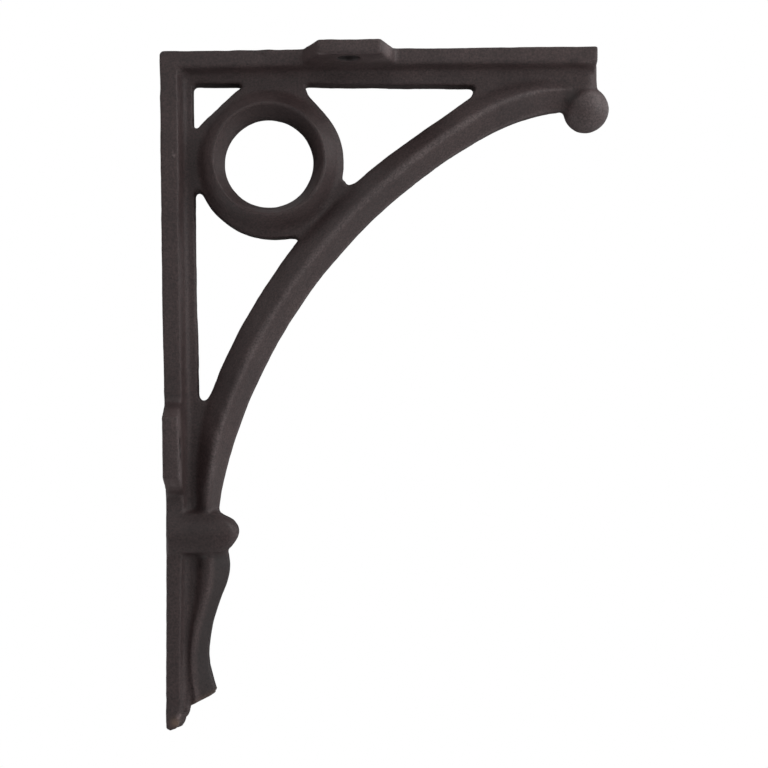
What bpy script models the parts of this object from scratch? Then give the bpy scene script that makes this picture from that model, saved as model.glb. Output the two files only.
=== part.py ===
"""Ornate cast iron shelf bracket, one casting, 9 by 6 inches.

A wall flange and a shelf flange meet in an L, each with a pair of screw ears. A thin web stands
inside the L and carries a ring, and a curved brace runs from a ball under the shelf flange's end,
past the ring, through a collar and into a foot at the wall.

Frame: metres, +Z up, +X out from the wall, Y across the thickness. The origin is on the wall face,
midway between the two wall screws. Sizes below are in millimetres, and places on the casting are
given as x and as a drop below the shelf face.
"""

import math

import bmesh
import bpy
from mathutils import Matrix, Vector

MM = 0.001
MERGE = 0.00002
SHARP = math.radians(35)

# Overall
HEIGHT = 228.6
PROJECTION = 152.4
WALL_SCREW_DROP = 133.7
ARM_LENGTH = 147.4

# Flanges: their thickness at the front edge, the shelf flange's from its end to the corner and the wall
# flange's from the corner down. At the web they are thicker, so that the pattern leaves the sand.
FLANGE_HALF_WIDTH = 8.5
SHELF_FLANGE = ((ARM_LENGTH, 5.5), (81.0, 5.25), (46.0, 5.25))
FLANGE_INNER_CORNER = 6.0
WALL_FLANGE = ((115.0, 5.85), (152.0, 5.85), (163.0, 5.3), (186.0, 4.9))
FLANGE_DRAFT = 2.2
FLANGE_CORNER = 1.2

# The wall flange's worn tip: its thickness there, then shares of it and heights above the very end
FLANGE_TIP_THICK = 4.7
FLANGE_TIP = ((1.0, 4.3), (0.78, 2.7), (0.66, 0.7), (0.3, 0.0), (0.0, 0.7))

# Web: it starts inside the flanges, and its free edge is a little deeper at the shelf's edge than at
# the corner. Its core lies hidden in the brace, and its lower end shows behind the foot.
WEB_HALF = 4.0
WEB_INSET = 3.0
WEB_ROOT_CLEAR = 0.5
WALL_RAIL = 11.0
SHELF_RAIL_CORNER = 10.4
SHELF_RAIL_END = 11.9
WEB_CORE_OFFSET = 3.0
WEB_CORE_ANGLES = (70.0, 9.0)
WEB_CORE_STEPS = 20
WEB_LOWER_END = (
    (12.5, 162.0),
    (11.0, 178.0),
    (8.8, 200.0),
    (9.3, 214.0),
    (7.7, 217.5),
    (7.7, 222.6),
    (7.1, 223.9),
    (5.9, 224.4),
    (WEB_INSET, 224.4),
)

# Screw ears on both flanges, one on each side, set back a hair so that the flange itself bears
EAR_REACH = 22.0
SHELF_EAR_THICK = 5.2
WALL_EAR_THICK = 5.8
EAR_SET_BACK = 0.12
EAR_ROOT_LENGTH = 31.5
EAR_FRONT_LENGTH = 20.8
EAR_ROOT_Y = 8.2
SHELF_SCREW_X = 63.5
SCREW_HOLE_Y = 15.3
SCREW_HOLE_RADIUS = 3.5
HOLE_SIDES = 32

# Ring: a round hole, a ridge on each side and a slightly hollow bevel down to a thin outer edge
RING_X = 36.4
RING_DROP = 37.15
RING_PROFILE = ((24.9, 3.6), (22.9, 5.2), (19.5, 9.9), (18.8, 10.5), (18.2, 9.9), (15.1, 1.8))
RING_SIDES = 84

# Brace: an arc about a centre out in the room. At each station: degrees from the wall side, then how
# far the lower edge, the ridge and the upper edge lie outside the arc, then the ridge's half height.
BRACE_X = 194.75
BRACE_DROP = 187.85
BRACE_RADIUS = 179.9
BRACE_LOWER_HALF = 2.4
BRACE_UPPER_HALF = 3.9
RIDGE_FLAT = 1.2
RIDGE_CROWN = 0.75
BRACE_STATIONS = (
    (6.5, -0.9, 3.6, 8.0, 8.4),
    (10.5, -0.2, 3.9, 8.8, 8.8),
    (13.5, 0.2, 4.7, 10.8, 9.4),
    (17.5, 0.2, 5.7, 12.7, 10.0),
    (23.0, 0.1, 6.0, 13.2, 10.3),
    (39.0, 0.0, 6.0, 13.7, 10.3),
    (48.0, 0.1, 5.9, 13.0, 10.3),
    (55.0, 0.2, 6.3, 12.8, 10.1),
    (59.5, 0.3, 6.7, 13.1, 9.8),
    (64.5, 0.2, 7.2, 13.0, 8.6),
    (69.0, -1.4, 5.8, 10.4, 6.2),
    (72.6, -3.9, 2.8, 6.2, 4.4),
)
BRACE_STEPS = 64

# Ball under the end of the shelf flange, on a short oval stem, nearly as thick as the web that it ends
BALL_X = 144.5
BALL_DROP = 19.9
BALL_RADIUS = PROJECTION - BALL_X
BALL_SIDES = 36
STEM_X = 145.0
STEM_RADIUS = 3.3
STEM_FOOT_RADIUS = 3.6
STEM_DEEPER = 1.14
STEM_TOP_DROP = 4.0

# Collar: a bead round the front, the back and the free side. Its profile gives the drop and then the
# share of the nose that stands out there.
COLLAR_ROOT_X = 18.4
COLLAR_ROOT_HALF = 8.7
COLLAR_NOSE = 6.4
COLLAR_FRONT_BULGE = 2.3
COLLAR_CORNER = 3.0
COLLAR_CORNER_STEPS = 5
COLLAR_INSET = 0.4
COLLAR_PROFILE = (
    (155.5, 0.0),
    (156.4, 0.16),
    (157.4, 0.46),
    (158.6, 0.73),
    (160.6, 0.94),
    (162.6, 1.0),
    (164.8, 0.9),
    (166.8, 0.68),
    (168.4, 0.38),
    (169.1, 0.1),
)

# Foot: at each station the drop, then x of the valley, the ridge and the outer edge, then the
# ridge's half height. The half heights at the valley and the outer edge stay the same.
FOOT_VALLEY_HALF = 4.6
FOOT_OUTER_HALF = 4.6
FOOT_STATIONS = (
    (160.0, 8.8, 14.6, 19.2, 8.0),
    (168.5, 9.3, 15.2, 20.9, 8.6),
    (173.5, 9.4, 15.2, 21.6, 8.8),
    (179.5, 9.1, 14.6, 20.6, 8.8),
    (186.0, 8.5, 12.9, 18.0, 8.5),
    (193.0, 7.4, 10.6, 15.8, 8.1),
    (200.0, 6.6, 9.2, 14.5, 7.8),
    (206.0, 6.5, 8.7, 14.3, 7.6),
    (212.0, 6.9, 9.1, 15.5, 7.5),
    (217.0, 7.4, 9.8, 16.9, 7.5),
    (223.0, 7.8, 10.6, 18.6, 7.5),
)
FOOT_STEPS = 36
FOOT_CUT_X = 11.0
FOOT_CUT_DROP = 219.1
FOOT_CUT_SLOPE = 26.0
FOOT_CUTTER_SIZE = 60.0

# Below the gaps the web rises to the wall flange on both sides and leaves a shallow valley at the brace
# and the foot: at each station the drop, x of the flange's side and of the valley, then the half
# heights there
RISE_STATIONS = (
    (118.5, 6.6, 13.0, 3.9, 3.8),
    (130.0, 6.5, 12.2, 5.2, 4.1),
    (145.0, 6.4, 11.0, 6.2, 4.3),
    (156.0, 6.3, 10.4, 6.5, 4.4),
    (170.0, 6.1, 9.8, 6.6, 4.5),
    (182.0, 5.9, 9.2, 6.6, 4.6),
    (199.0, 5.6, 6.8, 7.0, 5.0),
    (212.0, 5.5, 6.5, 7.6, 6.4),
    (222.4, 5.4, 6.1, 8.0, 7.6),
)
RISE_STEPS = 26
RISE_BEYOND = 1.5

# Rounded corners of the web's three gaps: x and drop of the centre, radius, and the degrees from +x
# towards a greater drop at which the corner starts and ends
CORNER_GAP_ROOT = (WALL_RAIL + 0.8, SHELF_RAIL_CORNER + 0.8, 0.8, 180, 270)
CORNER_GAP_TOP = (27.1, SHELF_RAIL_CORNER + 0.75, 0.6, 270, 405)
CORNER_GAP_LOW = (WALL_RAIL + 0.9, 24.6, 0.9, 60, 180)
SHELF_GAP_ROOT = (49.3, SHELF_RAIL_CORNER + 0.9, 0.6, 130, 270)
SHELF_GAP_TIP = (105.7, SHELF_RAIL_END + 0.8, 0.7, 270, 410)
SHELF_GAP_LOW = (63.2, 44.2, 1.0, 50, 195)
WALL_GAP_TOP = (WALL_RAIL + 1.2, 47.4, 1.1, 180, 325)
WALL_GAP_SIDE = (45.4, 63.3, 0.7, 265, 400)
WALL_GAP_LOW = (WALL_RAIL + 2.3, 115.9, 1.8, 20, 180)
GAP_CORNER_STEPS = 5

# The gaps' sides along the ring: degrees at the start and the end, the edge's radius there, and the
# degrees where the edge swells out because the gap runs to a point. Then the sides along the brace.
CORNER_GAP_RING = (112, 151, 25.3, 25.2, (109, 155))
SHELF_GAP_RING = (-14, 59, 25.3, 25.2, (-33, 64))
WALL_GAP_RING = (208, 287, 24.4, 26.0, (300,))
SHELF_GAP_BRACE = (62.5, 48.0, (64, 43))
WALL_GAP_BRACE = (39.3, 22.5, (44, 14))
GAP_SIDE_STEPS = 16
WEB_SUNK = 0.3
FLARE = 2.0
RING_FLARE_SPAN = 24.0
BRACE_FLARE_SPAN = 9.0

# The web is open behind the ring, out to a little beyond the ring's ridge
RING_OPENING_RADIUS = 20.3
RING_OPENING_SIDES = 60

IRON_COLOR = (0.045, 0.034, 0.034, 1.0)
IRON_ROUGHNESS = 0.62
IRON_METALLIC = 0.35


def clear_scene():
    """Start from an empty scene."""
    for obj in list(bpy.data.objects):
        bpy.data.objects.remove(obj, do_unlink=True)


def collection(name):
    """A collection of that name, linked to the scene."""
    made = bpy.data.collections.new(name)
    bpy.context.scene.collection.children.link(made)
    return made


def point(x, y, drop):
    """A point of the casting, in metres."""
    return Vector((x, y, WALL_SCREW_DROP - drop)) * MM


def arc(cx, cy, radius, start, end, steps):
    """Points along an arc. Angles are in degrees, from +x towards a greater drop."""
    turns = [math.radians(start + (end - start) * i / steps) for i in range(steps + 1)]
    return [(cx + radius * math.cos(t), cy + radius * math.sin(t)) for t in turns]


def along(stations, at):
    """The row of a station table at a value of its first column, on a smooth curve through the rows."""
    last = len(stations) - 2
    i = 0
    while i < last and at > stations[i + 1][0]:
        i += 1
    before, low, high, after = (stations[max(0, min(last + 1, k))] for k in (i - 1, i, i + 1, i + 2))
    step = high[0] - low[0]
    t = (at - low[0]) / step
    row = []
    for a, b, c, d in zip(before[1:], low[1:], high[1:], after[1:]):
        rise = (c - a) / (high[0] - before[0]) * step
        fall = (d - b) / (after[0] - low[0]) * step
        shape = ((2 * t - 3) * t * t + 1, ((t - 2) * t + 1) * t, (3 - 2 * t) * t * t, (t - 1) * t * t)
        row.append(shape[0] * b + shape[1] * rise + shape[2] * c + shape[3] * fall)
    return row


def finish_mesh(name, bm, place):
    """A new object from a bmesh, with its faces pointing out and round stretches smooth."""
    bmesh.ops.recalc_face_normals(bm, faces=bm.faces)
    mesh = bpy.data.meshes.new(name)
    bm.to_mesh(mesh)
    bm.free()
    mesh.shade_smooth()
    mesh.set_sharp_from_angle(angle=SHARP)
    obj = bpy.data.objects.new(name, mesh)
    place.objects.link(obj)
    return obj


def loft(name, sections, place):
    """A closed solid through sections, each a list of the same number of points in metres."""
    bm = bmesh.new()
    rings = [[bm.verts.new(p) for p in section] for section in sections]
    count = len(rings[0])
    for low, high in zip(rings, rings[1:]):
        for i in range(count):
            j = (i + 1) % count
            bm.faces.new((low[i], low[j], high[j], high[i]))
    bm.faces.new(rings[0])
    bm.faces.new(list(reversed(rings[-1])))
    return finish_mesh(name, bm, place)


def plate(name, outlines, thickness, turn, place):
    """A flat plate from closed outlines in millimetres, the first its outside and the others holes."""
    curve = bpy.data.curves.new(name, "CURVE")
    curve.dimensions = "2D"
    curve.fill_mode = "BOTH"
    curve.extrude = thickness / 2 * MM
    for outline in outlines:
        spline = curve.splines.new("POLY")
        spline.points.add(len(outline) - 1)
        for spot, (u, v) in zip(spline.points, outline):
            spot.co = (u * MM, v * MM, 0, 1)
        spline.use_cyclic_u = True
    drawn = bpy.data.objects.new(name, curve)
    place.objects.link(drawn)
    graph = bpy.context.evaluated_depsgraph_get()
    mesh = bpy.data.meshes.new_from_object(drawn.evaluated_get(graph))
    bpy.data.objects.remove(drawn, do_unlink=True)
    bm = bmesh.new()
    bm.from_mesh(mesh)
    bpy.data.meshes.remove(mesh)
    bmesh.ops.remove_doubles(bm, verts=bm.verts, dist=MERGE)
    bmesh.ops.transform(bm, matrix=turn, verts=bm.verts)
    return finish_mesh(name, bm, place)


def flanges(place):
    """The L of the two flanges, drafted on its inner sides, with a worn tip at the bottom."""
    root = WEB_HALF - WEB_ROOT_CLEAR
    ys = (-FLANGE_HALF_WIDTH, -root, root, FLANGE_HALF_WIDTH)
    sections = []
    for y, more in zip(ys, (0.0, FLANGE_DRAFT, FLANGE_DRAFT, 0.0)):
        inner = FLANGE_INNER_CORNER + more
        tip = FLANGE_TIP_THICK + more
        outline = [
            (0.0, FLANGE_CORNER),
            (FLANGE_CORNER * 0.3, FLANGE_CORNER * 0.3),
            (FLANGE_CORNER, 0.0),
            (ARM_LENGTH, 0.0),
        ]
        outline += [(x, thick + more) for x, thick in SHELF_FLANGE]
        outline.append((inner, inner))
        outline += [(thick + more, drop) for drop, thick in WALL_FLANGE]
        outline += [(tip * share, HEIGHT - above) for share, above in FLANGE_TIP]
        sections.append([point(x, y, drop) for x, drop in outline])
    return loft("flanges", sections, place)


def swell(at, tips, span):
    """How far the web's edge stands out at an angle, because a gap's tip is near."""
    return FLARE * sum(max(0.0, 1 - abs(at - tip) / span) ** 2 for tip in tips)


def ring_side(start, end, start_radius, end_radius, tips):
    """The web's edge along the ring. Angles are in degrees, with 0 away from the wall and 90 up."""
    out = []
    for i in range(GAP_SIDE_STEPS + 1):
        part = i / GAP_SIDE_STEPS
        at = start + (end - start) * part
        radius = start_radius + (end_radius - start_radius) * part + swell(at, tips, RING_FLARE_SPAN)
        t = math.radians(at)
        out.append((RING_X + radius * math.cos(t), RING_DROP - radius * math.sin(t)))
    return out


def on_brace(offset, degrees):
    """A point at an offset outside the brace's arc."""
    t = math.radians(degrees)
    radius = BRACE_RADIUS + offset
    return BRACE_X - radius * math.cos(t), BRACE_DROP - radius * math.sin(t)


def brace_side(start, end, tips):
    """The web's edge along the brace's upper side."""
    out = []
    for i in range(GAP_SIDE_STEPS + 1):
        at = start + (end - start) * i / GAP_SIDE_STEPS
        offset = along(BRACE_STATIONS, at)[2] - WEB_SUNK + swell(at, tips, BRACE_FLARE_SPAN)
        out.append(on_brace(offset, at))
    return out


def gap_corner(row):
    """A rounded corner of a gap."""
    return arc(*row, GAP_CORNER_STEPS)


def web(place):
    """The web: one plate with three open gaps, and a fourth opening that the ring covers."""
    outside = [(WEB_INSET, WEB_INSET), (STEM_X, WEB_INSET), (STEM_X, BALL_DROP - BALL_RADIUS / 4)]
    start, end = WEB_CORE_ANGLES
    for i in range(WEB_CORE_STEPS + 1):
        outside.append(on_brace(WEB_CORE_OFFSET, start + (end - start) * i / WEB_CORE_STEPS))
    outside += WEB_LOWER_END
    corner_gap = (
        gap_corner(CORNER_GAP_ROOT)
        + gap_corner(CORNER_GAP_TOP)
        + ring_side(*CORNER_GAP_RING)
        + gap_corner(CORNER_GAP_LOW)
    )
    shelf_gap = (
        gap_corner(SHELF_GAP_ROOT)
        + gap_corner(SHELF_GAP_TIP)
        + brace_side(*SHELF_GAP_BRACE)
        + gap_corner(SHELF_GAP_LOW)
        + ring_side(*SHELF_GAP_RING)
    )
    wall_gap = (
        gap_corner(WALL_GAP_TOP)
        + ring_side(*WALL_GAP_RING)
        + gap_corner(WALL_GAP_SIDE)
        + brace_side(*WALL_GAP_BRACE)
        + gap_corner(WALL_GAP_LOW)
    )
    last = 360 - 360 / RING_OPENING_SIDES
    behind_ring = arc(RING_X, RING_DROP, RING_OPENING_RADIUS, 0, last, RING_OPENING_SIDES - 1)
    upright = Matrix(((1, 0, 0, 0), (0, 0, 1, 0), (0, -1, 0, WALL_SCREW_DROP * MM), (0, 0, 0, 1)))
    outlines = (outside, corner_gap, shelf_gap, wall_gap, behind_ring)
    return plate("web", outlines, 2 * WEB_HALF, upright, place)


def ring(place):
    """The ring, turned from its section."""
    section = [(r, -half) for r, half in reversed(RING_PROFILE)] + list(RING_PROFILE)
    bm = bmesh.new()
    spots = [bm.verts.new((r * MM, 0, half * MM)) for r, half in reversed(section)]
    for a, b in zip(spots, spots[1:] + spots[:1]):
        bm.edges.new((a, b))
    mesh = bpy.data.meshes.new("ring")
    bm.to_mesh(mesh)
    bm.free()
    obj = bpy.data.objects.new("ring", mesh)
    place.objects.link(obj)
    obj.location = point(RING_X, 0, RING_DROP)
    obj.rotation_euler.x = math.radians(90)
    turned = obj.modifiers.new("turned", "SCREW")
    turned.steps = RING_SIDES
    turned.render_steps = RING_SIDES
    turned.use_merge_vertices = True
    turned.merge_threshold = MERGE
    turned.use_smooth_shade = False
    return obj


def ridged(low, ridge, high, half, low_half, high_half):
    """A section with a rounded ridge on each side and two edges, as pairs of position and y."""
    front = (
        (low, -low_half),
        (ridge - RIDGE_FLAT, -half + RIDGE_CROWN),
        (ridge, -half),
        (ridge + RIDGE_FLAT, -half + RIDGE_CROWN),
        (high, -high_half),
    )
    return list(front) + [(at, -y) for at, y in reversed(front)]


def brace(place):
    """The curved brace, swept along its arc with the section of each station."""
    start, end = BRACE_STATIONS[0][0], BRACE_STATIONS[-1][0]
    sections = []
    for i in range(BRACE_STEPS + 1):
        at = start + (end - start) * i / BRACE_STEPS
        low, ridge, high, half = along(BRACE_STATIONS, at)
        section = []
        for offset, y in ridged(low, ridge, high, half, BRACE_LOWER_HALF, BRACE_UPPER_HALF):
            x, drop = on_brace(offset, at)
            section.append(point(x, y, drop))
        sections.append(section)
    return loft("brace", sections, place)


def foot(place):
    """The foot below the collar, an S curve that flares out at its end."""
    start, end = FOOT_STATIONS[0][0], FOOT_STATIONS[-1][0]
    sections = []
    for i in range(FOOT_STEPS + 1):
        drop = start + (end - start) * i / FOOT_STEPS
        valley, ridge, outer, half = along(FOOT_STATIONS, drop)
        section = ridged(valley, ridge, outer, half, FOOT_VALLEY_HALF, FOOT_OUTER_HALF)
        sections.append([point(x, y, drop) for x, y in section])
    return loft("foot", sections, place)


def rise(place):
    """The web's rise from the valley to the wall flange, on both sides."""
    start, end = RISE_STATIONS[0][0], RISE_STATIONS[-1][0]
    sections = []
    for i in range(RISE_STEPS + 1):
        drop = start + (end - start) * i / RISE_STEPS
        flange_x, valley_x, flange_half, valley_half = along(RISE_STATIONS, drop)
        front = (
            (WEB_INSET, -flange_half),
            (flange_x, -flange_half),
            (valley_x, -valley_half),
            (valley_x + RISE_BEYOND, -valley_half),
        )
        section = list(front) + [(x, -y) for x, y in reversed(front)]
        sections.append([point(x, y, drop) for x, y in section])
    return loft("rise", sections, place)


def foot_cutter(place):
    """A block whose upper face is the sloping end of the foot."""
    size = FOOT_CUTTER_SIZE * MM
    bm = bmesh.new()
    bmesh.ops.create_cube(bm, size=size)
    bmesh.ops.translate(bm, vec=(0, 0, -size / 2), verts=bm.verts)
    obj = finish_mesh("foot_end", bm, place)
    obj.location = point(FOOT_CUT_X, 0, FOOT_CUT_DROP)
    obj.rotation_euler.y = -math.radians(FOOT_CUT_SLOPE)
    return obj


def collar(place):
    """The collar: one outline in plan for each height, wider where the bead stands out."""
    sections = []
    for drop, bulge in COLLAR_PROFILE:
        side = COLLAR_ROOT_X + COLLAR_NOSE * bulge - COLLAR_CORNER
        front = COLLAR_ROOT_HALF + COLLAR_FRONT_BULGE * bulge - COLLAR_CORNER
        outline = [(COLLAR_INSET, front + COLLAR_CORNER)]
        outline += arc(side, front, COLLAR_CORNER, 90, 0, COLLAR_CORNER_STEPS)
        outline += arc(side, -front, COLLAR_CORNER, 0, -90, COLLAR_CORNER_STEPS)
        outline += [(COLLAR_INSET, -front - COLLAR_CORNER)]
        sections.append([point(x, y, drop) for x, y in outline])
    return loft("collar", sections, place)


def ears(place):
    """The two pairs of screw ears, one plate across each flange."""
    root, front = EAR_ROOT_LENGTH / 2, EAR_FRONT_LENGTH / 2
    outline = [
        (-root, -EAR_ROOT_Y),
        (-front, -EAR_REACH),
        (front, -EAR_REACH),
        (root, -EAR_ROOT_Y),
        (root, EAR_ROOT_Y),
        (front, EAR_REACH),
        (-front, EAR_REACH),
        (-root, EAR_ROOT_Y),
    ]
    under_shelf = point(SHELF_SCREW_X, 0, EAR_SET_BACK + SHELF_EAR_THICK / 2)
    on_wall = point(EAR_SET_BACK + WALL_EAR_THICK / 2, 0, WALL_SCREW_DROP)
    flat = Matrix.Translation(under_shelf)
    upright = Matrix.Translation(on_wall) @ Matrix.Rotation(math.pi / 2, 4, "Y")
    return [
        plate("shelf_ears", [outline], SHELF_EAR_THICK, flat, place),
        plate("wall_ears", [outline], WALL_EAR_THICK, upright, place),
    ]


def rod(name, low_radius, high_radius, length, sides, matrix, place):
    """A round rod along its own z."""
    bm = bmesh.new()
    bmesh.ops.create_cone(
        bm,
        cap_ends=True,
        segments=sides,
        radius1=low_radius * MM,
        radius2=high_radius * MM,
        depth=length * MM,
        matrix=matrix,
    )
    return finish_mesh(name, bm, place)


def screw_holes(place):
    """Cutters for the four screw holes."""
    made = []
    for side in (-1, 1):
        y = side * SCREW_HOLE_Y
        down = Matrix.Translation(point(SHELF_SCREW_X, y, SHELF_EAR_THICK / 2))
        across = Matrix.Translation(point(WALL_EAR_THICK / 2, y, WALL_SCREW_DROP))
        across = across @ Matrix.Rotation(math.pi / 2, 4, "Y")
        size = (SCREW_HOLE_RADIUS, SCREW_HOLE_RADIUS, 4 * WALL_EAR_THICK, HOLE_SIDES)
        made.append(rod(f"shelf_screw_{side}", *size, down, place))
        made.append(rod(f"wall_screw_{side}", *size, across, place))
    return made


def ball(place):
    """The ball and its stem."""
    bm = bmesh.new()
    bmesh.ops.create_uvsphere(bm, u_segments=BALL_SIDES, v_segments=BALL_SIDES // 2, radius=BALL_RADIUS * MM)
    bmesh.ops.translate(bm, vec=point(BALL_X, 0, BALL_DROP), verts=bm.verts)
    length = BALL_DROP - STEM_TOP_DROP
    middle = Matrix.Translation(point(STEM_X, 0, STEM_TOP_DROP + length / 2))
    middle = middle @ Matrix.Diagonal((1, STEM_DEEPER, 1, 1))
    return [
        finish_mesh("ball", bm, place),
        rod("stem", STEM_FOOT_RADIUS, STEM_RADIUS, length, HOLE_SIDES, middle, place),
    ]


def combine(base, others, operation):
    """Boolean modifiers that join or cut the others, which stay as hidden guides."""
    for other in others:
        step = base.modifiers.new(other.name, "BOOLEAN")
        step.operation = operation
        step.solver = "EXACT"
        step.object = other
        other.hide_render = True
        other.display_type = "WIRE"


def iron():
    """Dark brown-black cast iron."""
    material = bpy.data.materials.new("cast_iron")
    material.use_nodes = True
    shader = material.node_tree.nodes["Principled BSDF"]
    shader.inputs["Base Color"].default_value = IRON_COLOR
    shader.inputs["Roughness"].default_value = IRON_ROUGHNESS
    shader.inputs["Metallic"].default_value = IRON_METALLIC
    return material


def main():
    """Build the casting."""
    clear_scene()
    parts = collection("ornate_shelf_bracket")
    cutters = collection("cutters")
    bracket = flanges(parts)
    bracket.name = "shelf_bracket"
    bracket.data.materials.append(iron())
    foot_piece = foot(cutters)
    combine(foot_piece, [foot_cutter(cutters)], "DIFFERENCE")
    combine(bracket, ears(cutters), "UNION")
    combine(bracket, screw_holes(cutters), "DIFFERENCE")
    pieces = [web(cutters), rise(cutters), ring(cutters), brace(cutters), foot_piece, collar(cutters)]
    combine(bracket, pieces + ball(cutters), "UNION")


main()
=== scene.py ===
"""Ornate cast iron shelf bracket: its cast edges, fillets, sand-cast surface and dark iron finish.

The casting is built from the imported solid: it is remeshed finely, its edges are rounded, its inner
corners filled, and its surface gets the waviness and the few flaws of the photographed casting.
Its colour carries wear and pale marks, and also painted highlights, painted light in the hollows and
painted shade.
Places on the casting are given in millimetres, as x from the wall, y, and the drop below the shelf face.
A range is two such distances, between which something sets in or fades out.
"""

import math

import bmesh
import bpy
import numpy as np
from mathutils import Matrix, Vector


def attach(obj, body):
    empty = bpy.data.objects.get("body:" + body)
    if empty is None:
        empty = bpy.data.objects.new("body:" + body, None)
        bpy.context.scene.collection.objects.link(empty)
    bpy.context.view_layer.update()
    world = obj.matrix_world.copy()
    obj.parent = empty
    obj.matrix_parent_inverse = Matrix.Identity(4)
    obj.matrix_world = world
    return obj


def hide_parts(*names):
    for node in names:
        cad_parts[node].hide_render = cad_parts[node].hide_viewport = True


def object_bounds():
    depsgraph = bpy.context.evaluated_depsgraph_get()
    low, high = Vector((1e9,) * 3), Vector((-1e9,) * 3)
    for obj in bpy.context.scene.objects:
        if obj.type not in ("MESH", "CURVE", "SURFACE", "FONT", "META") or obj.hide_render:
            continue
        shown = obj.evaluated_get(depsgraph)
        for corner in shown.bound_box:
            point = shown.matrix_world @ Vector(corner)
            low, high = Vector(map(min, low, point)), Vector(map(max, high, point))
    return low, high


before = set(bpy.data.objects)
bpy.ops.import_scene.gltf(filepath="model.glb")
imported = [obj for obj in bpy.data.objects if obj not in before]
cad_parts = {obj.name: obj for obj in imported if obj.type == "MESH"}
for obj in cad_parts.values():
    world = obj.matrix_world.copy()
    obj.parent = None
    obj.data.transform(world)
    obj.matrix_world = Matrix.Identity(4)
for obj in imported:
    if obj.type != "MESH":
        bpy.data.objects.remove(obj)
CAD_LOW, CAD_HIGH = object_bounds()

MM = 0.001
SHELF_Z = 133.7

# Mesh: cell, weld and margin in metres, and the triangles that are left
VOXEL = 0.00046
WELD = 0.00001
BOX_MARGIN = 0.00002
TRIANGLES = 194000

# Rounded edges and fillets: rounds of smoothing, then rounds of filling, which go on near the two faces.
# The ring's crisp ridge and the tip are smoothed less.
SMOOTHING = 0.5
SOFTEN_STEPS = 7
FILL_STEPS = 26
FACE_FILL_STEPS = 60
FACE_DEPTH = (3.2, 4.6)
FILL_EASE = 0.000012
NORMALS_EVERY = 4
RING_X = 36.4
RING_DROP = 37.15
RING_REACH = (24.0, 27.0)
RING_FILL = 0.25
TIP_CRISP = 0.85
TIP_CRISP_FROM = (209.0, 214.0)

# Sandy waviness: sizes and heights in metres, and how far the whole skin is first set back
WAVE_SIZES = (0.021, 0.0085, 0.0034, 0.0015)
WAVE_HEIGHTS = (0.00009, 0.00007, 0.00004, 0.000025)
WAVE_CELLS = 32
WAVE_SHIFT = 100.37
WAVE_SEED = 5
SKIN = 0.00005

# The leg's bow: drop and how far it moves out from the wall
LEG_BOW = (
    (0.0, 0.0),
    (60.0, 0.0),
    (90.0, 0.15),
    (115.0, 0.4),
    (135.0, 0.62),
    (150.0, 0.72),
    (165.0, 0.7),
    (180.0, 0.52),
    (200.0, 0.25),
    (222.0, 0.0),
    (230.0, 0.0),
)
LEG_WIDTH = (8.0, 16.0)

# The blunt, ragged tip. Its grain is in metres.
TIP_WIDER = 0.6
TIP_WIDER_FROM = (224.9, 226.2)
TIP_NARROWER = 0.5
TIP_NARROWER_FROM = (227.6, 228.6)
TIP_ROOM_SIDE = (1.0, 3.0)
RAGGED_FROM = (213.0, 221.0)
RAGGED_SIZE = 0.0022
RAGGED_HEIGHT = 0.00016
RAGGED_SEED = 31

# Flaws: x, y and drop, then radius and height
FLAWS = (
    (37.1, -8.5, 1.7, 2.2, 0.25),
    (34.6, -8.5, 2.2, 0.9, -0.40),
    (31.8, -6.0, 0.0, 3.0, -0.25),
    (24.9, -1.8, 27.1, 1.0, -0.45),
    (17.2, -8.0, 146.7, 0.8, 0.25),
    (18.3, -7.6, 147.9, 0.55, -0.45),
    (17.3, -8.0, 149.3, 0.7, 0.25),
    (114.4, -7.0, 21.0, 0.55, -0.40),
)

# Wear and painted light: ridges are made lighter, partly as wear and partly as a painted highlight, and
# the hollows are made lighter as painted light where shade falls. The first two ranges are heights above
# or depths below the surroundings. A tone multiplies the iron's colour.
WEAR_AND_HIGHLIGHT_STEPS = 30
WEAR_AND_HIGHLIGHT_RANGE = (0.08, 0.26)
WEAR_AND_HIGHLIGHT_TONE = 1.9
WEAR_AND_HIGHLIGHT_SPREAD = 5
HOLLOW_PAINTED_LIGHT_STEPS = 9
HOLLOW_PAINTED_LIGHT_RANGE = (0.02, 0.14)
HOLLOW_PAINTED_LIGHT_TONE = 1.2

# Worn places and painted highlights: the brace's ridge (wear and a painted highlight) and its outer edge
# (a painted rim highlight), the ball (a painted highlight), and the ridge of the foot (wear and a painted
# highlight) as drop and x. The bevel beside that ridge gets painted shade, which is taken off its tone.
BRACE_X = 194.75
BRACE_DROP = 187.85
BRACE_RIDGE_RADIUS = 185.9
BRACE_RIDGE_WIDTH = (3.0, 4.5)
BRACE_EDGE_RADIUS = 180.3
BRACE_EDGE_WIDTH = (0.8, 1.8)
BRACE_WEAR_AND_HIGHLIGHT_UNTIL = (140.0, 158.0)
BALL_X = 144.5
BALL_DROP = 19.9
BALL_REACH = 9.0
BALL_PAINTED_HIGHLIGHT = 1.6
FOOT_RIDGE = (
    (170.0, 15.2),
    (179.5, 14.6),
    (186.0, 12.9),
    (193.0, 10.6),
    (200.0, 9.2),
    (206.0, 8.7),
    (212.0, 9.1),
    (220.0, 10.2),
)
FOOT_RIDGE_WIDTH = (1.2, 2.4)
FOOT_WEAR_AND_HIGHLIGHT = 0.5
FOOT_WEAR_AND_HIGHLIGHT_FROM = (169.0, 172.0)
FOOT_BEVEL_PAINTED_SHADE = 0.5
FOOT_BEVEL_RANGE = (1.0, 2.5)
FOOT_BEVEL_FROM = (168.0, 171.0)
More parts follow.
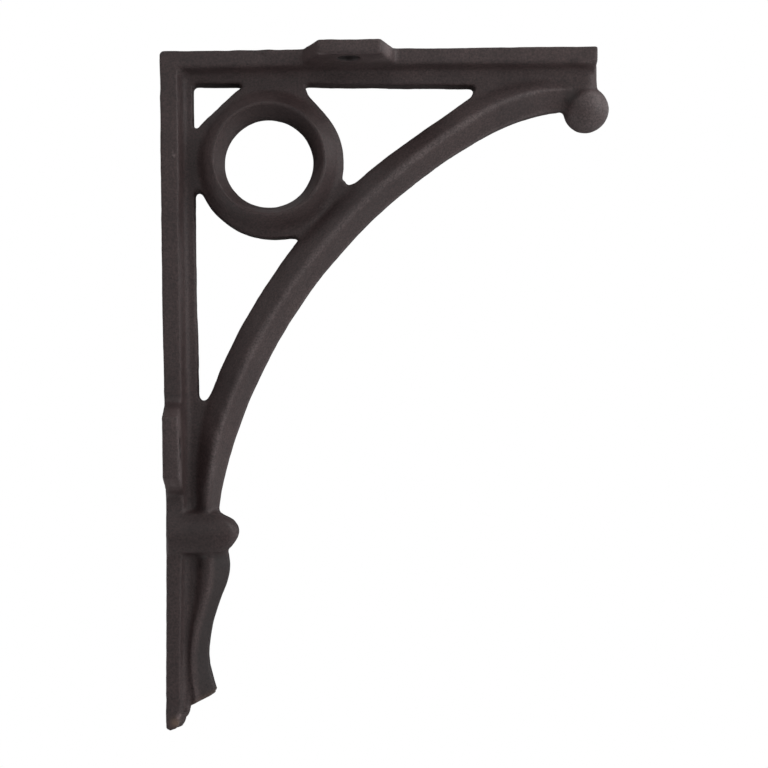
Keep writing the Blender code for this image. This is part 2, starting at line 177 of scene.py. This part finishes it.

# Spots that are lighter, or darker where the strength is below 0: x, y and drop, then radius and strength,
# which is added to the tone. The first five small spots are pale marks on the iron. The rest are painted
# light
# and shade: painted shade around the collar and on the wall ear's upper chamfer, painted highlights on the
# shelf ear's right chamfer and front, the ball's right side, the wall ear's band and the arm's front, and
# a painted shadow left of the ball.
SPECKS_AND_PAINTED_LIGHT = (
    (53.9, -21.5, 5.4, 0.5, 3.5),
    (4.7, -8.4, 35.4, 0.4, 2.5),
    (17.6, -8.2, 149.6, 0.5, 2.5),
    (4.4, -8.3, 223.4, 0.7, 3.5),
    (4.0, -8.3, 224.5, 0.6, 3.0),
    (9.0, -10.0, 162.6, 10.0, -0.28),
    (77.0, -15.0, 2.0, 5.0, 1.7),
    (68.0, -14.0, 6.0, 6.0, 0.4),
    (2.5, -15.0, 119.5, 4.5, -0.5),
    (149.5, -3.0, 18.5, 4.5, 0.4),
    (63.5, -23.0, 2.0, 10.0, 0.35),
    (6.5, -16.0, 124.5, 5.0, 1.4),
    (6.5, -16.0, 133.7, 5.0, 1.0),
    (6.5, -16.0, 143.0, 5.0, 1.4),
    (32.0, -9.0, 2.0, 16.0, 0.2),
    (96.0, -9.0, 2.0, 20.0, 0.2),
    (139.3, -5.0, 16.5, 3.5, -0.55),
)

# Painted shade inside the screw holes: the axis along which each pair runs, its place along the flange and
# its y
HOLES = (
    ("z", 63.5, 15.3),
    ("x", 133.7, 15.3),
)
HOLE_RADIUS = (3.6, 4.0)
HOLE_DEPTH = (8.0, 9.0)
HOLE_PAINTED_SHADE = 0.25

# Brown places: spots at the tip, as x, y and drop, then radius and strength, and the lip of the foot's end
BROWN_SPOTS = (
    (3.0, -8.3, 225.8, 1.5, 0.8),
    (4.6, -8.3, 226.5, 1.2, 0.4),
)
BROWN_LIP = 0.3
LIP_WIDTH = (0.5, 1.9)
LIP_X = (7.6, 8.6)
LIP_DROP = (205.0, 208.0)
FOOT_END_X = 11.0
FOOT_END_DROP = 219.1
FOOT_END_SLOPE = 26.0

# Iron: colours, how far the grain changes them, and how grey the places get that wear and painted
# highlights make lighter. A noise is its scale, detail and roughness.
IRON_DARK = (0.0362, 0.0224, 0.0224, 1)
IRON_LIGHT = (0.0500, 0.0313, 0.0308, 1)
IRON_SPREAD = (0.35, 0.68)
IRON_NOISE = (55.0, 4.0, 0.6)
GRAIN_NOISE = (1500.0, 3.0, 0.65)
BROWN = (0.145, 0.095, 0.07, 1)
GRAIN_RANGE = (0.3, 0.7)
GRAIN_TONES = (0.5, 1.54)
GREYING_TONES = (1.0, 1.8)
GREYING = (1.0, 0.7)
ROUGHNESS = (0.5, 0.7)
BUMP_STRENGTH = 0.6
BUMP_DEPTH = 0.00012

# The colour sockets of a Mix node
MIX_A = 6
MIX_B = 7
MIX_RESULT = 2

# Camera: the photograph is seen square on, from 0.55 m. The corner of the casting and the middle of the
# view are in pixels, the scale is in pixels for a millimetre, and the tilt is a slope.
VIEW_DISTANCE = 550.0
VIEW_SCALE = 2.934
VIEW_CORNER = (161.3, 56.2)
VIEW_CENTRE = (308.0, 450.0)
VIEW_TILT = 0.0102
FRAME_SIZE = 768
SENSOR = 36.0
CLIP = (0.01, 20.0)

# Floor, in metres
FLOOR_MIDDLE = (0.06, -0.1, -0.5)
FLOOR_RADIUS = 0.72
FLOOR_SIDES = 96
FLOOR_COLOR = (0.82, 0.82, 0.82, 1)
FLOOR_ROUGHNESS = 0.9

# Lights: degrees from the right, with -90 at the camera, then degrees above the casting, metres away and
# watts. Each box is about half as wide as it is far.
LIGHT_MIDDLE = (0.06, 0.0, 0.03)
LIGHT_SPREAD = 0.53
ROOM_LIGHT = 0.03
WHITE = (1, 1, 1, 1)
LIGHTS = (
    ("key", -30, 15, 0.6, 1.45),
    ("key_low", -30, -30, 0.6, 0.58),
    ("side_high", -20, 50, 1.0, 3.4),
    ("front", -100, 15, 1.5, 4.3),
    ("fill", -150, 50, 1.5, 4.8),
    ("fill_left", 180, 15, 1.5, 1.5),
    ("fill_low", 180, -30, 0.6, 1.2),
    ("rim", 30, 15, 1.0, 1.5),
    ("rim_low", 40, -20, 0.6, 0.34),
    ("back", 100, 30, 1.4, 1.2),
)


def vertices(mesh):
    """The vertices of a mesh as an array."""
    out = np.zeros(len(mesh.vertices) * 3)
    mesh.vertices.foreach_get("co", out)
    return out.reshape(-1, 3)


def normals(mesh):
    """The vertex normals of a mesh as an array."""
    out = np.zeros(len(mesh.vertices) * 3, np.float32)
    mesh.vertex_normals.foreach_get("vector", out)
    return out.reshape(-1, 3).astype(float)


def edge_ends(mesh):
    """The two vertices of each edge."""
    ends = np.zeros(len(mesh.edges) * 2, np.int32)
    mesh.edges.foreach_get("vertices", ends)
    return ends.reshape(-1, 2)


def put(mesh, spots):
    """Move the vertices of a mesh."""
    mesh.vertices.foreach_set("co", spots.astype(np.float32).ravel())
    mesh.update()


def store(mesh, name, values):
    """Keep a number for each vertex, for the material."""
    made = mesh.attributes.new(name, "FLOAT", "POINT")
    made.data.foreach_set("value", values.astype(np.float32))


def apply_modifiers(obj):
    """Make an object's modifiers part of its mesh."""
    graph = bpy.context.evaluated_depsgraph_get()
    mesh = bpy.data.meshes.new_from_object(obj.evaluated_get(graph))
    obj.modifiers.clear()
    obj.data = mesh


def from_wall(spots):
    """How far each point is from the wall, in millimetres."""
    return spots[:, 0] / MM


def drops(spots):
    """How far each point is below the shelf face, in millimetres."""
    return SHELF_Z - spots[:, 2] / MM


def from_middle(spots):
    """How far each point is from the middle plane, in millimetres."""
    return np.abs(spots[:, 1]) / MM


def smooth_step(value, low, high):
    """0 below low, 1 above high, and smooth between."""
    t = np.clip((value - low) / (high - low), 0, 1)
    return t * t * (3 - 2 * t)


def near(spots, x, y, drop, radius):
    """1 at a place on the casting, falling to 0 around it."""
    centre = np.array((x, y, SHELF_Z - drop)) * MM
    away = ((spots - centre) ** 2).sum(axis=1)
    return np.exp(-away / (radius * MM) ** 2)


def wave(spots, size, seed):
    """Smooth random waves of about that size, near -1 to 1, at each point."""
    table = np.random.default_rng(seed).standard_normal((WAVE_CELLS,) * 3)
    place = spots / size + WAVE_SHIFT
    low = np.floor(place).astype(int)
    part = place - low
    part = part * part * (3 - 2 * part)
    out = np.zeros(len(spots))
    for corner in range(8):
        step = np.array([(corner >> k) & 1 for k in range(3)])
        at = (low + step) % WAVE_CELLS
        weight = np.prod(np.where(step == 1, part, 1 - part), axis=1)
        out += weight * table[at[:, 0], at[:, 1], at[:, 2]]
    return out


def pull(values, ends):
    """How far smoothing moves each vertex's values, towards the middle of its neighbours'."""
    count = len(values)
    a, b = ends[:, 0], ends[:, 1]
    degree = np.bincount(a, minlength=count) + np.bincount(b, minlength=count)
    out = np.empty_like(values)
    for column in range(values.shape[1]):
        total = np.bincount(a, values[b, column], count) + np.bincount(b, values[a, column], count)
        out[:, column] = total / degree - values[:, column]
    return out * SMOOTHING


def filled(spots, ends, outward):
    """The smoothing move of each vertex, where it goes outwards, as in a hollow."""
    step = pull(spots, ends)
    along = np.einsum("ij,ij->i", step, outward)
    return step * smooth_step(along, 0.0, FILL_EASE)[:, None]


def soften(mesh):
    """Round the outer edges a little and fill the inner corners with wider fillets."""
    ends = edge_ends(mesh)
    spots = vertices(mesh)
    drop = drops(spots)
    off_ring = smooth_step(np.hypot(from_wall(spots) - RING_X, drop - RING_DROP), *RING_REACH)
    loose = 1 - TIP_CRISP * smooth_step(drop, *TIP_CRISP_FROM)
    loose *= RING_FILL + (1 - RING_FILL) * off_ring
    for _ in range(SOFTEN_STEPS):
        spots = spots + pull(spots, ends) * loose[:, None]
    on_face = smooth_step(from_middle(spots), *FACE_DEPTH) * off_ring
    for turn in range(FILL_STEPS + FACE_FILL_STEPS):
        if turn % NORMALS_EVERY == 0:
            put(mesh, spots)
            outward = normals(mesh)
        share = loose if turn < FILL_STEPS else loose * on_face
        spots = spots + filled(spots, ends, outward) * share[:, None]
    put(mesh, spots)


def bow(spots):
    """The leg's slight bow, as the photographed casting has it, and the blunt end of its tip."""
    drop = drops(spots)
    rows = np.array(LEG_BOW)
    amount = np.interp(drop, rows[:, 0], rows[:, 1])
    spots[:, 0] += amount * (1 - smooth_step(from_wall(spots), *LEG_WIDTH)) * MM
    tip = smooth_step(drop, *TIP_WIDER_FROM) * (1 - TIP_NARROWER * smooth_step(drop, *TIP_NARROWER_FROM))
    spots[:, 0] += TIP_WIDER * MM * tip * smooth_step(from_wall(spots), *TIP_ROOM_SIDE)
    return spots


def flaw(spots):
    """The casting's own dents, lumps and ragged tip, as distances to move each vertex outwards."""
    lift = np.zeros(len(spots))
    for x, y, drop, radius, height in FLAWS:
        lift += height * MM * near(spots, x, y, drop, radius)
    ragged = smooth_step(drops(spots), *RAGGED_FROM)
    lift += RAGGED_HEIGHT * ragged * wave(spots, RAGGED_SIZE, RAGGED_SEED)
    return lift


def roughen(mesh):
    """The bow, waviness and flaws of a sand casting, kept within the solid's box."""
    spots = bow(vertices(mesh))
    put(mesh, spots)
    outward = normals(mesh)
    lift = np.full(len(spots), -SKIN)
    for number, (size, height) in enumerate(zip(WAVE_SIZES, WAVE_HEIGHTS)):
        lift += height * wave(spots, size, number + WAVE_SEED)
    lift += flaw(spots)
    spots = spots + outward * lift[:, None]
    put(mesh, np.clip(spots, np.array(CAD_LOW) + BOX_MARGIN, np.array(CAD_HIGH) - BOX_MARGIN))


def relief(mesh, steps):
    """How far each vertex stands out of its surroundings, in millimetres, below 0 in the hollows."""
    ends = edge_ends(mesh)
    spots = vertices(mesh)
    smooth = spots
    for _ in range(steps):
        smooth = smooth + pull(smooth, ends)
    return np.einsum("ij,ij->i", spots - smooth, normals(mesh)) / MM


def from_foot_ridge(spots):
    """How far each vertex is from the foot's ridge, towards the room, in millimetres."""
    rows = np.array(FOOT_RIDGE)
    return from_wall(spots) - np.interp(drops(spots), rows[:, 0], rows[:, 1])


def wear_and_highlight_mask(spots):
    """1 on the brace's ridge and outer edge and on the ball, less on the foot's ridge, 0 elsewhere: the
    ridges are worn and get a painted highlight, the brace's outer edge and the ball get a painted
    highlight.
    """
    drop = drops(spots)
    radius = np.hypot(from_wall(spots) - BRACE_X, drop - BRACE_DROP)
    ridge = 1 - smooth_step(np.abs(radius - BRACE_RIDGE_RADIUS), *BRACE_RIDGE_WIDTH)
    # A painted rim highlight along the brace's outer edge.
    edge = 1 - smooth_step(np.abs(radius - BRACE_EDGE_RADIUS), *BRACE_EDGE_WIDTH)
    brace = (ridge + edge) * (1 - smooth_step(drop, *BRACE_WEAR_AND_HIGHLIGHT_UNTIL))
    # A painted highlight on the ball.
    ball = near(spots, BALL_X, 0.0, BALL_DROP, BALL_REACH) * BALL_PAINTED_HIGHLIGHT
    # The foot's ridge: wear and a painted highlight.
    foot = FOOT_WEAR_AND_HIGHLIGHT * (1 - smooth_step(np.abs(from_foot_ridge(spots)), *FOOT_RIDGE_WIDTH))
    foot *= smooth_step(drop, *FOOT_WEAR_AND_HIGHLIGHT_FROM)
    return np.clip(brace + ball + foot, 0, 1)


def wear_and_highlight_places(mesh):
    """1 on wear and painted highlights, 0 elsewhere, with soft edges."""
    # Lighter where worn and where a highlight is painted on.
    wear_and_highlight = smooth_step(relief(mesh, WEAR_AND_HIGHLIGHT_STEPS), *WEAR_AND_HIGHLIGHT_RANGE) * wear_and_highlight_mask(vertices(mesh))
    wear_and_highlight = wear_and_highlight[:, None]
    ends = edge_ends(mesh)
    for _ in range(WEAR_AND_HIGHLIGHT_SPREAD):
        wear_and_highlight = wear_and_highlight + pull(wear_and_highlight, ends)
    return wear_and_highlight[:, 0]


def in_hole(spots):
    """1 inside the screw holes, 0 elsewhere."""
    out = np.zeros(len(spots))
    for axis, middle, side in HOLES:
        along, deep = from_wall(spots), drops(spots)
        if axis == "x":
            along, deep = deep, along
        away = np.hypot(along - middle, from_middle(spots) - side)
        out += (1 - smooth_step(away, *HOLE_RADIUS)) * (1 - smooth_step(deep, *HOLE_DEPTH))
    return out


def tones(mesh):
    """How much lighter or darker than plain iron each vertex is: wear, pale marks, painted highlights,
    painted light in the hollows, and painted shade and shadow, also inside the screw holes.
    """
    spots = vertices(mesh)
    # Painted light in the hollows: they are made lighter where shade falls.
    hollow_painted_light = smooth_step(-relief(mesh, HOLLOW_PAINTED_LIGHT_STEPS), *HOLLOW_PAINTED_LIGHT_RANGE)
    tone = 1 + (WEAR_AND_HIGHLIGHT_TONE - 1) * wear_and_highlight_places(mesh) + (HOLLOW_PAINTED_LIGHT_TONE - 1) * hollow_painted_light
    # Painted shade on the foot's outer bevel.
    bevel = smooth_step(from_foot_ridge(spots), *FOOT_BEVEL_RANGE)
    tone -= FOOT_BEVEL_PAINTED_SHADE * bevel * smooth_step(drops(spots), *FOOT_BEVEL_FROM)
    # Pale marks, and spots of painted light and shade.
    for x, y, drop, radius, more in SPECKS_AND_PAINTED_LIGHT:
        tone += more * near(spots, x, y, drop, radius)
    # Painted shade inside the screw holes.
    return tone * (1 - (1 - HOLE_PAINTED_SHADE) * in_hole(spots))


def foot_lip(spots):
    """1 on the rim of the foot's sloping end, 0 elsewhere."""
    x = from_wall(spots)
    drop = drops(spots)
    above_end = FOOT_END_DROP - (x - FOOT_END_X) * math.tan(math.radians(FOOT_END_SLOPE)) - drop
    rim = 1 - smooth_step(above_end, *LIP_WIDTH)
    return rim * smooth_step(x, *LIP_X) * smooth_step(drop, *LIP_DROP)


def browns(mesh):
    """How brown each vertex is."""
    spots = vertices(mesh)
    brown = foot_lip(spots) * BROWN_LIP
    for x, y, drop, radius, more in BROWN_SPOTS:
        brown += more * near(spots, x, y, drop, radius)
    return np.clip(brown, 0, 1)


def welded(node):
    """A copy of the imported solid's mesh with its vertices joined."""
    mesh = node.data.copy()
    bm = bmesh.new()
    bm.from_mesh(mesh)
    bmesh.ops.remove_doubles(bm, verts=bm.verts, dist=WELD)
    bm.to_mesh(mesh)
    bm.free()
    return mesh


def casting(node):
    """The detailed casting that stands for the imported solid."""
    obj = bpy.data.objects.new("iron_casting", welded(node))
    bpy.context.scene.collection.objects.link(obj)
    fine = obj.modifiers.new("fine", "REMESH")
    fine.mode = "VOXEL"
    fine.voxel_size = VOXEL
    fine.adaptivity = 0.0
    apply_modifiers(obj)
    soften(obj.data)
    roughen(obj.data)
    thin = obj.modifiers.new("thin", "DECIMATE")
    thin.ratio = TRIANGLES / (2 * len(obj.data.polygons))
    apply_modifiers(obj)
    mesh = obj.data
    mesh.materials.clear()
    mesh.shade_smooth()
    put(mesh, np.clip(vertices(mesh), np.array(CAD_LOW), np.array(CAD_HIGH)))
    store(mesh, "tone", tones(mesh))
    store(mesh, "brown", browns(mesh))
    return obj


def link(tree, a, b):
    """Join an output to an input."""
    tree.links.new(a, b)


def add(tree, kind, **values):
    """A new node, with its properties or input values set."""
    node = tree.nodes.new(kind)
    for name, value in values.items():
        if name in node.inputs:
            node.inputs[name].default_value = value
        else:
            setattr(node, name, value)
    return node


def noise(tree, spots, scale, detail, roughness):
    """Smooth random numbers near 0.5 at each point."""
    node = add(tree, "ShaderNodeTexNoise", Scale=scale, Detail=detail, Roughness=roughness)
    link(tree, spots, node.inputs["Vector"])
    return node.outputs["Fac"]


def stretch(tree, value, old, new):
    """A value moved from its old range to a new one."""
    node = add(tree, "ShaderNodeMapRange")
    node.inputs["From Min"].default_value, node.inputs["From Max"].default_value = old
    node.inputs["To Min"].default_value, node.inputs["To Max"].default_value = new
    link(tree, value, node.inputs["Value"])
    return node.outputs["Result"]


def multiply(tree, a, b):
    """A colour times another colour or a value."""
    node = add(tree, "ShaderNodeMix", data_type="RGBA", blend_type="MULTIPLY", Factor=1.0)
    link(tree, a, node.inputs[MIX_A])
    link(tree, b, node.inputs[MIX_B])
    return node.outputs[MIX_RESULT]


def stored(tree, name):
    """A number that each vertex keeps."""
    return add(tree, "ShaderNodeAttribute", attribute_name=name).outputs["Fac"]


def iron_colour(tree, spots, grain):
    """Brown-black, uneven and grainy, brown at the tip, with the tone's wear and painted light and shade,
    and greyer where the tone is lighter.
    """
    uneven = add(tree, "ShaderNodeValToRGB")
    ends = uneven.color_ramp.elements
    for end, position, color in zip(ends, IRON_SPREAD, (IRON_DARK, IRON_LIGHT)):
        end.position = position
        end.color = color
    link(tree, noise(tree, spots, *IRON_NOISE), uneven.inputs["Fac"])
    grainy = multiply(tree, uneven.outputs["Color"], stretch(tree, grain, GRAIN_RANGE, GRAIN_TONES))
    tone = stored(tree, "tone")
    greyed = add(tree, "ShaderNodeHueSaturation")
    link(tree, stretch(tree, tone, GREYING_TONES, GREYING), greyed.inputs["Saturation"])
    link(tree, multiply(tree, grainy, tone), greyed.inputs["Color"])
    rusty = add(tree, "ShaderNodeMix", data_type="RGBA")
    rusty.inputs[MIX_B].default_value = BROWN
    link(tree, stored(tree, "brown"), rusty.inputs["Factor"])
    link(tree, greyed.outputs["Color"], rusty.inputs[MIX_A])
    return rusty.outputs[MIX_RESULT]


def iron():
    """Dark, matte brown-black cast iron with a fine sandy grain."""
    material = bpy.data.materials.new("cast_iron_sandy")
    material.use_nodes = True
    tree = material.node_tree
    shader = tree.nodes["Principled BSDF"]
    shader.inputs["Metallic"].default_value = 0.0
    spots = add(tree, "ShaderNodeTexCoord").outputs["Object"]
    grain = noise(tree, spots, *GRAIN_NOISE)
    link(tree, iron_colour(tree, spots, grain), shader.inputs["Base Color"])
    link(tree, stretch(tree, grain, (0.0, 1.0), ROUGHNESS), shader.inputs["Roughness"])
    bump = add(tree, "ShaderNodeBump", Strength=BUMP_STRENGTH, Distance=BUMP_DEPTH)
    link(tree, grain, bump.inputs["Height"])
    link(tree, bump.outputs["Normal"], shader.inputs["Normal"])
    return material


def floor():
    """A plain pale floor, below the casting."""
    material = bpy.data.materials.new("pale_floor")
    material.use_nodes = True
    shader = material.node_tree.nodes["Principled BSDF"]
    shader.inputs["Base Color"].default_value = FLOOR_COLOR
    shader.inputs["Roughness"].default_value = FLOOR_ROUGHNESS
    bm = bmesh.new()
    bmesh.ops.create_circle(bm, cap_ends=True, segments=FLOOR_SIDES, radius=FLOOR_RADIUS)
    bmesh.ops.translate(bm, vec=FLOOR_MIDDLE, verts=bm.verts)
    mesh = bpy.data.meshes.new("floor")
    bm.to_mesh(mesh)
    bm.free()
    mesh.materials.append(material)
    obj = bpy.data.objects.new("floor", mesh)
    bpy.context.scene.collection.objects.link(obj)


def soft_light(name, place, target, size, power):
    """A square soft box."""
    data = bpy.data.lights.new(name, "AREA")
    data.shape = "SQUARE"
    data.size = size
    data.energy = power
    obj = bpy.data.objects.new(name, data)
    bpy.context.scene.collection.objects.link(obj)
    obj.location = place
    obj.rotation_euler = (target - place).to_track_quat("-Z", "Y").to_euler()
    obj.visible_camera = False


def lights():
    """Soft boxes all round, brightest from the front's right."""
    middle = Vector(LIGHT_MIDDLE)
    for name, turn, rise, distance, power in LIGHTS:
        turn, rise = math.radians(turn), math.radians(rise)
        way = Vector((math.cos(turn) * math.cos(rise), math.sin(turn) * math.cos(rise), math.sin(rise)))
        soft_light(name, middle + way * distance, middle, distance * LIGHT_SPREAD, power)


def room():
    """A dim room that the camera sees as white."""
    world = bpy.data.worlds.new("room")
    bpy.context.scene.world = world
    world.use_nodes = True
    tree = world.node_tree
    tree.nodes.clear()
    out = add(tree, "ShaderNodeOutputWorld")
    ray = add(tree, "ShaderNodeLightPath")
    dim = add(tree, "ShaderNodeBackground", Color=WHITE, Strength=ROOM_LIGHT)
    white = add(tree, "ShaderNodeBackground", Color=WHITE, Strength=1.0)
    pick = add(tree, "ShaderNodeMixShader")
    link(tree, ray.outputs["Is Camera Ray"], pick.inputs[0])
    link(tree, dim.outputs[0], pick.inputs[1])
    link(tree, white.outputs[0], pick.inputs[2])
    link(tree, pick.outputs[0], out.inputs["Surface"])
    bpy.context.scene.view_settings.view_transform = "Standard"


def camera():
    """The photograph's camera."""
    dx = VIEW_CENTRE[0] - VIEW_CORNER[0]
    dy = VIEW_CENTRE[1] - VIEW_CORNER[1]
    x = (dx - dy * VIEW_TILT) / VIEW_SCALE
    drop = (dy + dx * VIEW_TILT) / VIEW_SCALE
    data = bpy.data.cameras.new("camera")
    obj = bpy.data.objects.new("camera", data)
    bpy.context.scene.collection.objects.link(obj)
    obj.matrix_world = (
        Matrix.Translation(Vector((x, -VIEW_DISTANCE, SHELF_Z - drop)) * MM)
        @ Matrix.Rotation(math.radians(90), 4, "X")
        @ Matrix.Rotation(-math.atan(VIEW_TILT), 4, "Z")
    )
    data.sensor_width = SENSOR
    data.lens = VIEW_SCALE * VIEW_DISTANCE / FRAME_SIZE * SENSOR
    data.shift_x = (FRAME_SIZE / 2 - VIEW_CENTRE[0]) / FRAME_SIZE
    data.shift_y = (VIEW_CENTRE[1] - FRAME_SIZE / 2) / FRAME_SIZE
    data.clip_start, data.clip_end = CLIP
    bpy.context.scene.camera = obj


camera()
floor()
lights()
room()
piece = casting(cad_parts["shelf_bracket"])
piece.data.materials.append(iron())
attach(piece, "root")
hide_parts("shelf_bracket")
